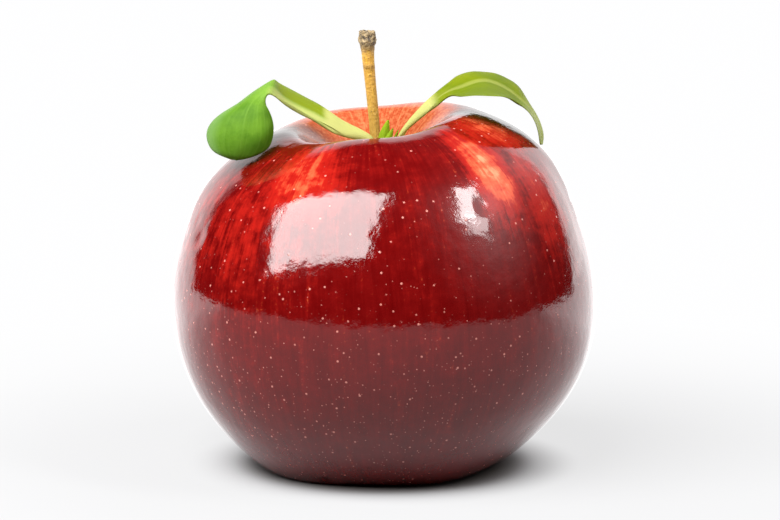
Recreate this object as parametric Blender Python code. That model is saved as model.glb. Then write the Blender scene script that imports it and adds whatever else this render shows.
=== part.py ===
"""A red eating apple with its stem, two young leaves, three small shoots and a dried calyx.

The fruit is a turned outline that is then grown out of true: five soft lobes, a crown that leans to the
left and a rim that is higher on the right and at the back. Leaves, shoots and sepals are surfaces lofted
over rails that run their length and given a thickness. The fruit stands on the flat ring around its basin.
Sizes are written in millimetres and become metres when a mesh is made; +Z is up, -Y is the front.
"""

import math

import bmesh
import bpy
import numpy as np

MM = 0.001

# The fruit, as radius and height of the places its outline passes through.
RADIUS = 40.1
EQUATOR = 32.8
RIM_RADIUS = 15.8
RIM_HEIGHT = 65.0
CAVITY_FLOOR = 52.0
RING_RADIUS = 18.3
BASIN_FLOOR = 8.6
OUTLINE = (
    (0.0, CAVITY_FLOOR),
    (3.2, CAVITY_FLOOR + 1.6),
    (8.5, CAVITY_FLOOR + 8.0),
    (12.5, RIM_HEIGHT - 1.6),
    (RIM_RADIUS, RIM_HEIGHT),
    (29.7, 58.7),
    (36.2, 48.9),
    (RADIUS, EQUATOR),
    (37.4, 17.6),
    (29.1, 5.6),
    (RING_RADIUS, -0.8),
    (11.0, 3.0),
    (5.0, 7.4),
    (0.0, BASIN_FLOOR),
)
OUTLINE_STEPS = 50
TURN_STEPS = 60
CENTRE_WELD = 0.001
KNOT_SPREAD = 0.7

# How the fruit departs from a turned body. The last four lines are the radii over which the lobes fade out
# towards the axis, and the share of the rim's height at which the crown starts to lean.
DEPTH_RATIO = 0.98
LOBES = 5
LOBE_PHASE = math.radians(-63.6)
BELLY_LOBE = 0.003
RIM_LOBE = 0.24
RING_LOBE = 0.31
CROWN_LEAN = 3.0
RING_LEAN = 0.7
RIM_RISE_RIGHT = 0.115
RIM_RISE_BACK = 0.084
RING_RISE_RIGHT = 0.026
BELLY_FADE = 20.0
RIM_FADE = 16.0
RING_FADE = 10.0
CROWN_START = 0.35

# The stem, from its foot to its cut head: place on the axis, then radius.
STEM_PATH = ((-1.5, 0.0, 53.6), (-1.9, 0.0, 58.5), (-2.9, 0.1, 70.5), (-3.5, 0.0, 77.0), (-3.7, 0.0, 82.3))
STEM_RADII = (1.3, 1.15, 1.15, 1.3, 1.7)
STEM_STEPS = 15
STEM_SIDES = 12
HEAD_LENGTH = 4.2
HEAD_SWELL = 0.22
HEAD_KNOBS = 3.0
CUT_INSET = 0.5
CUT_DEPTH = 0.3

# Leaf rails from the foot to the tip: near margin, midrib, the crest where the far half bends over, far
# margin. The last line gives their places across the blade, with the midrib at 0.
LEFT_NEAR = (
    (-2.9, -3.8, 55.0), (-2.6, -4.3, 61.2), (-4.7, -4.6, 62.2), (-8.0, -5.5, 63.0), (-11.0, -6.2, 64.9),
    (-14.3, -7.2, 67.1), (-19.1, -8.4, 70.1), (-21.6, -9.2, 71.3), (-22.4, -9.8, 70.0),
    (-21.9, -10.4, 68.7), (-21.1, -11.0, 66.8), (-20.9, -11.5, 64.6), (-21.7, -11.8, 61.9),
    (-23.9, -11.6, 60.4), (-26.9, -11.0, 59.5),
)
LEFT_MIDRIB = (
    (-3.1, -3.3, 54.7), (-2.9, -4.0, 62.0), (-4.9, -4.3, 63.3), (-8.2, -4.9, 64.2), (-11.2, -5.2, 65.7),
    (-14.3, -5.4, 67.5), (-19.6, -6.4, 70.6), (-21.4, -7.8, 72.3), (-23.5, -9.2, 71.0),
    (-25.0, -10.8, 69.7), (-26.4, -12.3, 67.1), (-27.0, -13.0, 64.0), (-27.4, -12.7, 61.4),
    (-27.6, -12.1, 60.1), (-27.7, -11.2, 59.5),
)
LEFT_CREST = (
    (-3.3, -3.0, 54.8), (-3.1, -3.6, 62.5), (-5.0, -3.8, 63.8), (-8.4, -3.9, 65.4), (-11.3, -3.6, 67.4),
    (-14.3, -1.5, 69.3), (-20.4, -2.0, 72.7), (-21.4, -3.2, 73.2), (-24.5, -5.6, 71.5),
    (-27.7, -7.6, 69.3), (-31.5, -8.8, 66.8), (-33.0, -9.4, 64.2), (-32.5, -10.4, 61.8),
    (-30.9, -11.0, 60.4), (-28.5, -11.0, 59.5),
)
LEFT_FAR = (
    (-3.4, -2.9, 55.0), (-3.2, -3.5, 62.8), (-5.0, -3.5, 64.0), (-8.5, -2.6, 65.4), (-11.4, -1.8, 67.1),
    (-14.6, 4.5, 67.5), (-20.1, 5.6, 70.5), (-22.1, 4.6, 71.1), (-24.3, 3.4, 69.5), (-26.9, 1.6, 67.6),
    (-29.8, -0.6, 65.4), (-31.0, -2.2, 63.1), (-30.9, -5.0, 61.3), (-29.8, -8.4, 60.2),
    (-28.7, -10.7, 59.5),
)
RIGHT_NEAR = (
    (0.8, -2.3, 55.7), (2.6, -2.8, 62.4), (5.3, -3.1, 65.3), (8.4, -3.5, 67.9), (11.3, -5.0, 70.5),
    (13.7, -8.6, 70.9), (16.1, -10.2, 71.2), (18.2, -10.6, 71.2), (20.3, -10.4, 71.1), (22.2, -9.8, 70.8),
    (23.9, -8.9, 69.9), (25.4, -7.8, 68.7), (26.9, -6.2, 66.9), (28.1, -3.8, 64.1), (28.7, -1.8, 61.2),
)
RIGHT_MIDRIB = (
    (1.0, -1.9, 55.5), (2.7, -2.5, 62.9), (5.2, -2.8, 66.0), (8.2, -3.0, 68.6), (11.3, -2.6, 71.0),
    (13.9, -1.8, 71.9), (16.3, -1.0, 72.7), (18.6, -0.4, 72.9), (20.8, 0.0, 72.2), (22.8, 0.2, 71.1),
    (24.5, 0.2, 69.8), (26.0, 0.1, 68.5), (27.4, 0.1, 66.8), (28.7, -0.5, 63.9), (28.9, -1.3, 61.0),
)
RIGHT_CREST = (
    (1.1, -1.6, 55.6), (2.7, -2.2, 63.3), (5.1, -2.5, 66.4), (7.9, -2.2, 69.3), (11.2, -0.6, 72.2),
    (13.9, 3.0, 73.7), (16.4, 5.0, 74.0), (18.8, 6.5, 73.7), (21.0, 6.8, 73.3), (23.0, 6.4, 72.4),
    (24.8, 5.4, 71.2), (26.2, 4.4, 69.1), (27.7, 3.4, 66.8), (29.2, 1.4, 63.4), (29.1, -0.8, 61.0),
)
RIGHT_FAR = (
    (1.2, -1.5, 55.7), (2.6, -2.1, 63.5), (5.0, -2.2, 66.5), (8.0, -1.4, 69.1), (11.4, 2.0, 71.3),
    (14.3, 10.0, 70.9), (16.9, 14.5, 69.4), (19.3, 16.0, 68.9), (21.6, 16.0, 68.7), (23.5, 15.0, 68.3),
    (25.0, 13.0, 67.8), (26.3, 10.5, 66.9), (27.7, 8.0, 65.4), (28.9, 4.0, 63.0), (29.2, -0.3, 61.0),
)
RAIL_PLACES = (-1.0, 0.0, 0.5, 1.0)
LEAF_STEPS = 44
LEAF_COLUMNS = 9
BLADE_THICKNESS = 0.45
STALK_THICKNESS = 1.0
LEFT_STALK_SHARE = 0.27
RIGHT_STALK_SHARE = 0.24
STALK_FADE = 0.15

# Small shoots beside the foot of the stem: foot, middle and tip, with the half width at the middle.
SHOOTS = {
    "bud_tall": (((-0.9, -3.1, 54.9), (-0.5, -3.0, 62.9), (0.2, -2.6, 65.8)), 0.85),
    "bud_mid": (((0.0, -4.8, 57.2), (0.2, -4.6, 62.2), (1.1, -4.2, 64.4)), 0.65),
    "bud_tip": (((1.3, -3.5, 56.8), (1.3, -3.7, 61.8), (2.1, -3.9, 64.0)), 0.4),
}
SMALL_PLACES = (-1.0, 0.0, 1.0)
SHOOT_STEPS = 9
SHOOT_THICKNESS = 0.5
SHOOT_FOLD = 0.4
SHOOT_FOOT_SHARE = 0.5
SHOOT_TIP_SHARE = 0.17

# The dried calyx in the basin.
SEPAL_COUNT = 5
SEPAL_RAIL = ((2.9, 7.2), (3.2, 5.6), (2.6, 3.9), (1.5, 3.0))
SEPAL_HALF_WIDTHS = (1.0, 1.25, 0.875, 0.19)
SEPAL_CUPPING = 0.3
SEPAL_THICKNESS = 0.4
SEPAL_STEPS = 8
TUFT_OUTLINE = ((0.8, 7.6), (0.72, 5.4), (0.36, 4.2))
TUFT_RIDGES = 6
TUFT_GROOVE = 0.78


def clear_scene():
    for item in list(bpy.data.objects):
        bpy.data.objects.remove(item, do_unlink=True)


def make_material(name, colour, roughness, metallic=0.0):
    material = bpy.data.materials.new(name)
    material.use_nodes = True
    shader = material.node_tree.nodes["Principled BSDF"]
    shader.inputs["Base Color"].default_value = (*colour, 1.0)
    shader.inputs["Roughness"].default_value = roughness
    shader.inputs["Metallic"].default_value = metallic
    return material


def skin_material():
    return make_material("apple_skin", (0.33, 0.018, 0.014), 0.16)


def stem_material():
    return make_material("stem_bark", (0.36, 0.20, 0.06), 0.7)


def leaf_material():
    return make_material("leaf_green", (0.27, 0.47, 0.06), 0.42)


def shoot_material():
    return make_material("shoot_green", (0.47, 0.62, 0.05), 0.45)


def calyx_material():
    return make_material("calyx_brown", (0.13, 0.08, 0.04), 0.85)


def smoothstep(value):
    value = np.clip(value, 0.0, 1.0)
    return value * value * (3.0 - 2.0 * value)


def spline(points, count, places=None):
    """Sample a natural cubic spline through the points, spread evenly over their places."""
    knots = np.array(points, float)
    if places is None:
        gaps = np.linalg.norm(np.diff(knots, axis=0), axis=1) ** KNOT_SPREAD
        places = np.concatenate(([0.0], np.cumsum(gaps)))
    steps = np.diff(places)
    size = len(knots)
    matrix = np.eye(size)
    right = np.zeros_like(knots)
    for i in range(1, size - 1):
        matrix[i, i - 1 : i + 2] = (steps[i - 1], 2.0 * (steps[i - 1] + steps[i]), steps[i])
        right[i] = 6.0 * ((knots[i + 1] - knots[i]) / steps[i] - (knots[i] - knots[i - 1]) / steps[i - 1])
    bend = np.linalg.solve(matrix, right)
    where = np.linspace(places[0], places[-1], count)
    span = np.clip(np.searchsorted(places, where, side="right") - 1, 0, size - 2)
    width = steps[span][:, None]
    after = (where - np.array(places)[span])[:, None] / width
    before = 1.0 - after
    curve = (before**3 - before) * bend[span] + (after**3 - after) * bend[span + 1]
    return before * knots[span] + after * knots[span + 1] + curve * width**2 / 6.0


def grow(radius, height, angle):
    """Move a point of the turned body to where it sits on the lobed, leaning fruit."""
    lobe = math.cos(LOBES * (angle - LOBE_PHASE))
    crown = smoothstep((height / RIM_HEIGHT - CROWN_START) / (1.0 - CROWN_START))
    ring = smoothstep(1.0 - 2.0 * height / RIM_HEIGHT) * smoothstep(radius / RING_FADE)
    belly = radius * (1.0 + BELLY_LOBE * lobe * smoothstep(radius / BELLY_FADE))
    x = belly * math.cos(angle)
    y = belly * math.sin(angle) * DEPTH_RATIO
    z = height - lobe * (RIM_LOBE * crown * smoothstep(radius / RIM_FADE) + RING_LOBE * ring)
    z += (RIM_RISE_RIGHT * x + RIM_RISE_BACK * y) * crown + RING_RISE_RIGHT * x * ring
    x -= CROWN_LEAN * (height / RIM_HEIGHT) ** 2 + RING_LEAN * ring
    return x, y, max(z, 0.0)


def finish(name, mesh_data, material, parent, smooth=True):
    """Turn a bmesh in millimetres into a named object in metres."""
    bmesh.ops.recalc_face_normals(mesh_data, faces=mesh_data.faces)
    bmesh.ops.scale(mesh_data, vec=(MM, MM, MM), verts=mesh_data.verts)
    mesh = bpy.data.meshes.new(name)
    mesh_data.to_mesh(mesh)
    mesh_data.free()
    if smooth:
        mesh.shade_smooth()
    item = bpy.data.objects.new(name, mesh)
    item.data.materials.append(material)
    item.parent = parent
    bpy.context.scene.collection.objects.link(item)
    return item


def make_fruit(material, parent):
    bm = bmesh.new()
    corners = [bm.verts.new((radius, 0.0, height)) for radius, height in spline(OUTLINE, OUTLINE_STEPS)]
    edges = [bm.edges.new(pair) for pair in zip(corners, corners[1:])]
    turn = dict(cent=(0, 0, 0), axis=(0, 0, 1), angle=math.tau, steps=TURN_STEPS, use_merge=True)
    bmesh.ops.spin(bm, geom=corners + edges, **turn)
    bmesh.ops.remove_doubles(bm, verts=bm.verts, dist=CENTRE_WELD)
    for vert in bm.verts:
        angle = math.atan2(vert.co.y, vert.co.x)
        vert.co = grow(math.hypot(vert.co.x, vert.co.y), vert.co.z, angle)
    return finish("fruit", bm, material, parent)


def centre_of(item):
    """Middle of an object's box in plan, in metres."""
    xs = [vert.co.x for vert in item.data.vertices]
    ys = [vert.co.y for vert in item.data.vertices]
    return (min(xs) + max(xs)) / 2.0, (min(ys) + max(ys)) / 2.0


def make_stem(material, parent):
    """A round stalk that swells into a knobby head with a shallow cut face."""
    path = spline(STEM_PATH, STEM_STEPS)
    places = np.linspace(0.0, 1.0, STEM_STEPS)
    radii = np.interp(places, np.linspace(0.0, 1.0, len(STEM_RADII)), STEM_RADII)
    bm = bmesh.new()
    rings = []
    for centre, radius in zip(path, radii):
        head = smoothstep((centre[2] - path[-1][2] + HEAD_LENGTH) / HEAD_LENGTH)
        ring = []
        for side in range(STEM_SIDES):
            angle = math.tau * side / STEM_SIDES
            reach = radius + HEAD_SWELL * head * math.sin(HEAD_KNOBS * angle + centre[2])
            outward = np.array((math.cos(angle), math.sin(angle), 0.0))
            ring.append(bm.verts.new(centre + reach * outward))
        rings.append(ring)
    for low, high in zip(rings, rings[1:]):
        for side in range(STEM_SIDES):
            after = (side + 1) % STEM_SIDES
            bm.faces.new((low[side], low[after], high[after], high[side]))
    bm.faces.new(rings[0])
    cut = bm.faces.new(rings[-1])
    bmesh.ops.inset_individual(bm, faces=[cut], thickness=CUT_INSET, depth=-CUT_DEPTH)
    return finish("stem", bm, material, parent)


def make_blade(name, rails, places, steps, thickness, material, parent, stalk=0.0, columns=LEAF_COLUMNS):
    """Loft a blade over its rails, which lie at the given places across it, then give it a thickness.

    The first share of the length, stalk, is thicker than the rest.
    """
    loft = spline(np.hstack(rails), steps).reshape(steps, len(rails), 3)
    weights = spline(np.eye(len(rails)), columns, places)
    bm = bmesh.new()
    rows = []
    for section in loft:
        rows.append([bm.verts.new(weight @ section) for weight in weights])
    for row, following in zip(rows, rows[1:]):
        for column in range(columns - 1):
            bm.faces.new((row[column], row[column + 1], following[column + 1], following[column]))
    item = finish(name, bm, material, parent)
    group = item.vertex_groups.new(name="stalk")
    for step in range(steps):
        weight = 1.0 - float(smoothstep((step / steps - stalk) / STALK_FADE)) if stalk else 0.0
        group.add(range(step * columns, (step + 1) * columns), weight, "REPLACE")
    solid = item.modifiers.new("thickness", "SOLIDIFY")
    solid.thickness = (STALK_THICKNESS if stalk else thickness) * MM
    solid.offset = 0.0
    solid.use_even_offset = False
    if stalk:
        solid.vertex_group = group.name
        solid.thickness_vertex_group = thickness / STALK_THICKNESS
    return item


def make_leaves(material, parent):
    left = (LEFT_NEAR, LEFT_MIDRIB, LEFT_CREST, LEFT_FAR)
    right = (RIGHT_NEAR, RIGHT_MIDRIB, RIGHT_CREST, RIGHT_FAR)
    size = (LEAF_STEPS, BLADE_THICKNESS)
    make_blade("leaf_left", left, RAIL_PLACES, *size, material, parent, LEFT_STALK_SHARE)
    make_blade("leaf_right", right, RAIL_PLACES, *size, material, parent, RIGHT_STALK_SHARE)


def make_shoots(material, parent):
    """Three folded leaflets, each with rails set either side of its own middle line."""
    for name, (line, half_width) in SHOOTS.items():
        foot, middle, tip = np.array(line)
        side = np.array((half_width, 0.0, 0.0))
        back = np.array((0.0, SHOOT_FOLD * half_width, 0.0))
        foot_side = side * SHOOT_FOOT_SHARE
        tip_side = side * SHOOT_TIP_SHARE
        lower = (foot - foot_side + back, middle - side + back, tip - tip_side)
        upper = (foot + foot_side + back, middle + side + back, tip + tip_side)
        rails = (lower, line, upper)
        make_blade(name, rails, SMALL_PLACES, SHOOT_STEPS, SHOOT_THICKNESS, material, parent, columns=3)


def make_sepals(material, parent):
    """Dried calyx lobes, standing around the middle of the basin and leaning in over the tuft."""
    for number in range(SEPAL_COUNT):
        angle = math.tau * number / SEPAL_COUNT + LOBE_PHASE
        outward = np.array((math.cos(angle), math.sin(angle), 0.0))
        side = np.array((-math.sin(angle), math.cos(angle), 0.0))
        cupping = outward * SEPAL_CUPPING
        midrib = [outward * radius + np.array((0.0, 0.0, height)) for radius, height in SEPAL_RAIL]
        lower = [point - side * width - cupping for point, width in zip(midrib, SEPAL_HALF_WIDTHS)]
        upper = [point + side * width - cupping for point, width in zip(midrib, SEPAL_HALF_WIDTHS)]
        name = f"sepal_{number + 1}"
        rails = (lower, midrib, upper)
        make_blade(name, rails, SMALL_PLACES, SEPAL_STEPS, SEPAL_THICKNESS, material, parent, columns=3)


def make_tuft(material, parent):
    """The dried stamens, packed together as one ridged plug."""
    sides = 2 * TUFT_RIDGES
    bm = bmesh.new()
    rings = []
    for radius, height in TUFT_OUTLINE:
        ring = []
        for side in range(sides):
            angle = math.tau * side / sides
            reach = radius * (1.0 if side % 2 else TUFT_GROOVE)
            ring.append(bm.verts.new((reach * math.cos(angle), reach * math.sin(angle), height)))
        rings.append(ring)
    for high, low in zip(rings, rings[1:]):
        for side in range(sides):
            after = (side + 1) % sides
            bm.faces.new((high[side], high[after], low[after], low[side]))
    bm.faces.new(rings[0])
    bm.faces.new(rings[-1])
    return finish("stamens", bm, material, parent, smooth=False)


def make_apple():
    clear_scene()
    apple = bpy.data.objects.new("apple", None)
    bpy.context.scene.collection.objects.link(apple)
    fruit = make_fruit(skin_material(), apple)
    centre_x, centre_y = centre_of(fruit)
    apple.location = (-centre_x, -centre_y, 0.0)
    make_stem(stem_material(), apple)
    make_leaves(leaf_material(), apple)
    make_shoots(shoot_material(), apple)
    make_sepals(calyx_material(), apple)
    make_tuft(calyx_material(), apple)


make_apple()
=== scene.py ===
# %% [markdown]
# # A red apple with its stem and two young leaves
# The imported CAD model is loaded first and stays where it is: it is the frame that every visible piece is
# fitted to. Then each piece is grown again at full detail, given its finish, and tied to the CAD body.
# Lengths are written in millimetres, because an apple is measured in them, and turned into Blender's
# metres when a mesh is made.

# %% Load the frame
import math

import bpy
import numpy as np
from mathutils import Matrix, Vector, noise


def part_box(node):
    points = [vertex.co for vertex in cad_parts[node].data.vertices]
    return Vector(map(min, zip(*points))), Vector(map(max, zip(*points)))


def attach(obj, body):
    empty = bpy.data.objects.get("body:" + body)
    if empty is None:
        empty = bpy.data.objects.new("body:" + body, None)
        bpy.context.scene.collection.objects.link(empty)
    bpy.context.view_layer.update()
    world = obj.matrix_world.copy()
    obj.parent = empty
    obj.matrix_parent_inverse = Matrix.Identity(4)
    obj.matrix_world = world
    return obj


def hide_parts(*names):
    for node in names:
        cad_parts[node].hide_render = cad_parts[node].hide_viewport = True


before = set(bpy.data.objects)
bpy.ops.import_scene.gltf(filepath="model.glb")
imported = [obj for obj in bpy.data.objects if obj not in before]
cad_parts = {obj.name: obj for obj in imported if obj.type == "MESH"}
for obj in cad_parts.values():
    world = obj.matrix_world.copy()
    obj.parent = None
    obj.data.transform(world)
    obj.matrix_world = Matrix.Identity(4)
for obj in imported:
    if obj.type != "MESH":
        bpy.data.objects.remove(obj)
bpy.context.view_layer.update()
MM = 0.001
fruit_low, fruit_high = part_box("fruit")
fruit_middle = (fruit_low + fruit_high) / 2.0
print("fruit measures", [round(side / MM, 1) for side in fruit_high - fruit_low], "mm")

# %% [markdown]
# ## Camera
# A long lens far from a small object keeps the fruit round instead of bulging towards the viewer. It
# stands a little above the fruit, so that the near lip of the hollow hides the foot of the stem.

# %% Camera
CAMERA_DISTANCE = 600.0
CAMERA_ELEVATION = math.radians(9.0)
FRAME_WIDTH = 147.4
AIM_HEIGHT = 38.9
AIM_RIGHT = 1.2
SENSOR_WIDTH = 36.0

aim = Vector((fruit_middle.x + AIM_RIGHT * MM, fruit_middle.y, AIM_HEIGHT * MM))
backward = Vector((0.0, -math.cos(CAMERA_ELEVATION), math.sin(CAMERA_ELEVATION)))
lens = bpy.data.cameras.new("camera")
lens.sensor_width = SENSOR_WIDTH
lens.lens = SENSOR_WIDTH * CAMERA_DISTANCE / FRAME_WIDTH
lens.clip_end = 20.0
camera = bpy.data.objects.new("camera", lens)
camera.location = aim + backward * CAMERA_DISTANCE * MM
camera.rotation_euler = (math.pi / 2.0 - CAMERA_ELEVATION, 0.0, 0.0)
bpy.context.scene.collection.objects.link(camera)
bpy.context.scene.camera = camera
print("lens", round(lens.lens, 1), "mm")

# %% [markdown]
# ## Helpers for shapes
# Nearly every shape here is a smooth line through a few chosen points, so one spline serves the fruit's
# outline, the stem and the leaves. A grid of such points becomes a mesh, and its normals say which way is
# out. Two more helpers ease a value from 0 to 1 or raise a soft hill, which is how one zone of a natural
# thing passes into the next.


# %% Smooth lines, smooth steps and grids
def smoothstep(value):
    """0 below 0, 1 above 1, and a smooth rise between them."""
    value = np.clip(value, 0.0, 1.0)
    return value * value * (3.0 - 2.0 * value)


def bump_of(value, middle, width):
    """A soft hill, 1 at the middle and near 0 two widths away."""
    return np.exp(-(((value - middle) / width) ** 2))


def spline(points, count, places=None):
    """Sample a natural cubic spline through the points, spread evenly over their places."""
    knots = np.array(points, float)
    if places is None:
        # A power under 1 gives short gaps more room, so the curve turns sharply without swinging wide.
        gaps = np.linalg.norm(np.diff(knots, axis=0), axis=1) ** 0.7
        places = np.concatenate(([0.0], np.cumsum(gaps)))
    steps = np.diff(places)
    size = len(knots)
    matrix = np.eye(size)
    right = np.zeros_like(knots)
    for i in range(1, size - 1):
        matrix[i, i - 1 : i + 2] = (steps[i - 1], 2.0 * (steps[i - 1] + steps[i]), steps[i])
        right[i] = 6.0 * ((knots[i + 1] - knots[i]) / steps[i] - (knots[i] - knots[i - 1]) / steps[i - 1])
    bend = np.linalg.solve(matrix, right)
    where = np.linspace(places[0], places[-1], count)
    span = np.clip(np.searchsorted(places, where, side="right") - 1, 0, size - 2)
    width = steps[span][:, None]
    after = (where - np.array(places)[span])[:, None] / width
    before = 1.0 - after
    curve = (before**3 - before) * bend[span] + (after**3 - after) * bend[span + 1]
    return before * knots[span] + after * knots[span + 1] + curve * width**2 / 6.0


def grid_faces(rows, columns, closed):
    """Quads of a grid of points, joined across its last column when closed."""
    faces = []
    for row in range(rows - 1):
        for column in range(columns if closed else columns - 1):
            after = (column + 1) % columns
            here, below = row * columns, (row + 1) * columns
            faces.append((here + column, here + after, below + after, below + column))
    return faces


def surface_normals(points, closed):
    """Unit normals of a grid of points, from its neighbours along and across."""
    along = np.gradient(points, axis=0)
    across = np.gradient(points, axis=1)
    if closed:
        across = (np.roll(points, -1, axis=1) - np.roll(points, 1, axis=1)) / 2.0
    normals = np.cross(along, across)
    return normals / (np.linalg.norm(normals, axis=-1, keepdims=True) + 1e-12)


def make_piece(name, points, faces, attributes=None):
    """A mesh object from points in millimetres, with vector attributes for its finish to read."""
    mesh = bpy.data.meshes.new(name)
    mesh.from_pydata((np.asarray(points).reshape(-1, 3) * MM).tolist(), [], faces)
    for title, values in (attributes or {}).items():
        layer = mesh.attributes.new(title, "FLOAT_VECTOR", "POINT")
        layer.data.foreach_set("vector", np.asarray(values, np.float32).reshape(-1))
    mesh.validate()
    mesh.shade_smooth()
    item = bpy.data.objects.new(name, mesh)
    bpy.context.scene.collection.objects.link(item)
    return item


# %% [markdown]
# ## Growing the fruit
# An apple starts as a turned body: one outline from the stem's foot, up the funnel, over the rim, down
# the flank and into the basin under it. A lathe would stop there. A real fruit has five soft lobes, one
# for each seed chamber, its crown leans, and its rim is higher on one side. So the outline is swept round
# as a grid of points, and each point is then moved by a few smooth rules. A grid also gives every point
# its place in the growth, along and around, which the colour streaks follow later.

# %% The fruit's outline
OUTLINE = (
    (0.0, 52.0), (3.2, 53.6), (8.5, 60.0), (12.5, 63.4), (15.8, 65.0), (29.7, 58.7), (36.2, 48.9),
    (40.1, 32.8), (37.4, 17.6), (29.1, 5.6), (18.3, -0.8), (11.0, 3.0), (5.0, 7.4), (0.0, 8.6),
)
RIM_HEIGHT = 65.0
ROWS = 250
COLUMNS = 320

outline = spline(OUTLINE, ROWS)
along = np.linspace(0.0, 1.0, ROWS)[:, None] * np.ones((1, COLUMNS))
angle = np.linspace(0.0, math.tau, COLUMNS, endpoint=False)[None, :] * np.ones((ROWS, 1))
radius = outline[:, :1] * np.ones((1, COLUMNS))
height = outline[:, 1:] * np.ones((1, COLUMNS))
print("outline of", ROWS, "points swept to", COLUMNS, "places around")

# %% Lobes, lean and tilt
LOBES = 5
LOBE_TURN = math.radians(63.6)
LOBE_SWELL = 0.003
CROWN_WAVE = 0.24
FOOT_WAVE = 0.31
DEPTH_SHARE = 0.98
RIM_TILT = (0.115, 0.084)
FOOT_TILT = 0.026
LEAN = 3.0
FOOT_LEAN = 0.7

lobe = np.cos(LOBES * (angle + LOBE_TURN))
crown = smoothstep((height / RIM_HEIGHT - 0.35) / 0.65)
ring = smoothstep(1.0 - 2.0 * height / RIM_HEIGHT) * smoothstep(radius / 10.0)
belly = radius * (1.0 + LOBE_SWELL * lobe * smoothstep(radius / 20.0))
x = belly * np.cos(angle)
y = belly * np.sin(angle) * DEPTH_SHARE
z = height - CROWN_WAVE * lobe * crown * smoothstep(radius / 16.0) - FOOT_WAVE * lobe * ring
z = z + (RIM_TILT[0] * x + RIM_TILT[1] * y) * crown + FOOT_TILT * x * ring
x = x - LEAN * (height / RIM_HEIGHT) ** 2 - FOOT_LEAN * ring
skin_points = np.stack((x, y, z), axis=-1)
print(LOBES, "lobes; the rim's highest point is at", round(float(z.max()), 1), "mm")

# %% [markdown]
# The skin isn't smooth like glass either. Broad, shallow swellings bend reflections, a few knocks leave
# dents, and folds run down into the basin between the lobes. All of them move points along the surface
# normal, by tenths of a millimetre. Each dent is a place, a reach and a depth.

# %% Swellings, dents and folds
SWELL_SIZE = 15.0
SWELL_DEPTH = 0.10
DENTS = (
    ((-34.6, -15.0, 45.6), 1.8, 0.16),
    ((-33.4, -19.1, 42.9), 1.3, 0.12),
    ((-35.3, -11.0, 48.0), 1.4, 0.10),
    ((30.1, -22.3, 42.1), 1.3, 0.10),
    ((31.3, -18.0, 45.0), 1.0, 0.07),
    ((17.2, -27.7, 53.1), 1.3, 0.13),
    ((-11.4, -21.4, 1.3), 1.1, 0.35),
)
BASIN_FOLD = 0.45
BASIN_PLACE = 0.91

normals = surface_normals(skin_points, closed=True)
flank = (ROWS // 2, 0)
normals *= np.sign(np.sum(normals[flank] * (skin_points[flank] - (0.0, 0.0, RIM_HEIGHT / 2.0))))
swell = np.array([noise.noise(Vector(point) / SWELL_SIZE) for point in skin_points.reshape(-1, 3)])
shift = SWELL_DEPTH * swell.reshape(ROWS, COLUMNS) * smoothstep(radius / 12.0)
for place, reach, depth in DENTS:
    distance = np.linalg.norm(skin_points - np.array(place), axis=-1)
    shift -= depth * bump_of(distance, 0.0, reach)
basin = smoothstep((0.5 - np.abs(along - BASIN_PLACE) * 8.0) * 2.0)
shift += BASIN_FOLD * basin * (np.abs(np.cos(LOBES / 2.0 * (angle + LOBE_TURN))) - 0.6)
skin_points = skin_points + normals * shift[..., None]
skin_points[..., 2] = np.maximum(skin_points[..., 2], 0.0)
print("skin moved by", round(float(shift.min()), 2), "to", round(float(shift.max()), 2), "mm")

# %% [markdown]
# The grid closes at both ends in a single point, so the first and last rows become one point each with a
# fan of triangles. The finished skin is then slid sideways until its box has the same middle as the CAD
# fruit's. That same slide is used for every other piece, so they all stay in register.

# %% The fruit's mesh
centre = (skin_points.reshape(-1, 3).min(axis=0) + skin_points.reshape(-1, 3).max(axis=0)) / 2.0
slide = np.array((fruit_middle.x / MM - centre[0], fruit_middle.y / MM - centre[1], 0.0))
inner = skin_points[1:-1].reshape(-1, 3)
ends = np.array((skin_points[0].mean(axis=0), skin_points[-1].mean(axis=0)))
fruit_faces = grid_faces(ROWS - 2, COLUMNS, closed=True)
top, bottom = len(inner), len(inner) + 1
last_row = (ROWS - 3) * COLUMNS
for column in range(COLUMNS):
    after = (column + 1) % COLUMNS
    fruit_faces.append((top, after, column))
    fruit_faces.append((bottom, last_row + column, last_row + after))
print("slide", np.round(slide, 2), "mm;", len(fruit_faces), "faces")

# %% [markdown]
# ## Where the colours lie
# Red is a blush over a yellow ground. It is thickest where the sun reached and thin where a leaf shaded
# the skin, in the hollow and in the basin. Those zones are worked out per point from the place in the
# growth: how far along, and which way round. The finish then breaks their edges up with streaks.

# %% Zones of the skin
# Each patch: its bearing and spread in degrees, its place and reach along the outline, and its strength.
BRIGHT_PATCHES = (
    (-118.0, 15.0, 0.285, 0.060, 0.90),
    (-140.0, 30.0, 0.36, 0.13, 0.35),
    (-46.0, 8.0, 0.31, 0.07, 1.35),
    (-20.0, 18.0, 0.255, 0.045, 0.95),
    (-30.0, 10.0, 0.37, 0.08, 0.60),
    (28.0, 18.0, 0.38, 0.16, 0.70),
    (88.0, 26.0, 0.30, 0.15, 0.85),
    (140.0, 16.0, 0.42, 0.14, 0.65),
)
# The hollow's own colours end nearer the stem at the front than at the back.
HOLLOW_END = 0.165
HOLLOW_EXTRA = 0.075
HOLLOW_FADE = 0.07
BASIN_START = 0.86
BASIN_FADE = 0.12


def turn_between(first, second):
    """Smallest turn from one angle to the other, in degrees."""
    return np.abs((np.degrees(first) - second + 180.0) % 360.0 - 180.0)


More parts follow.
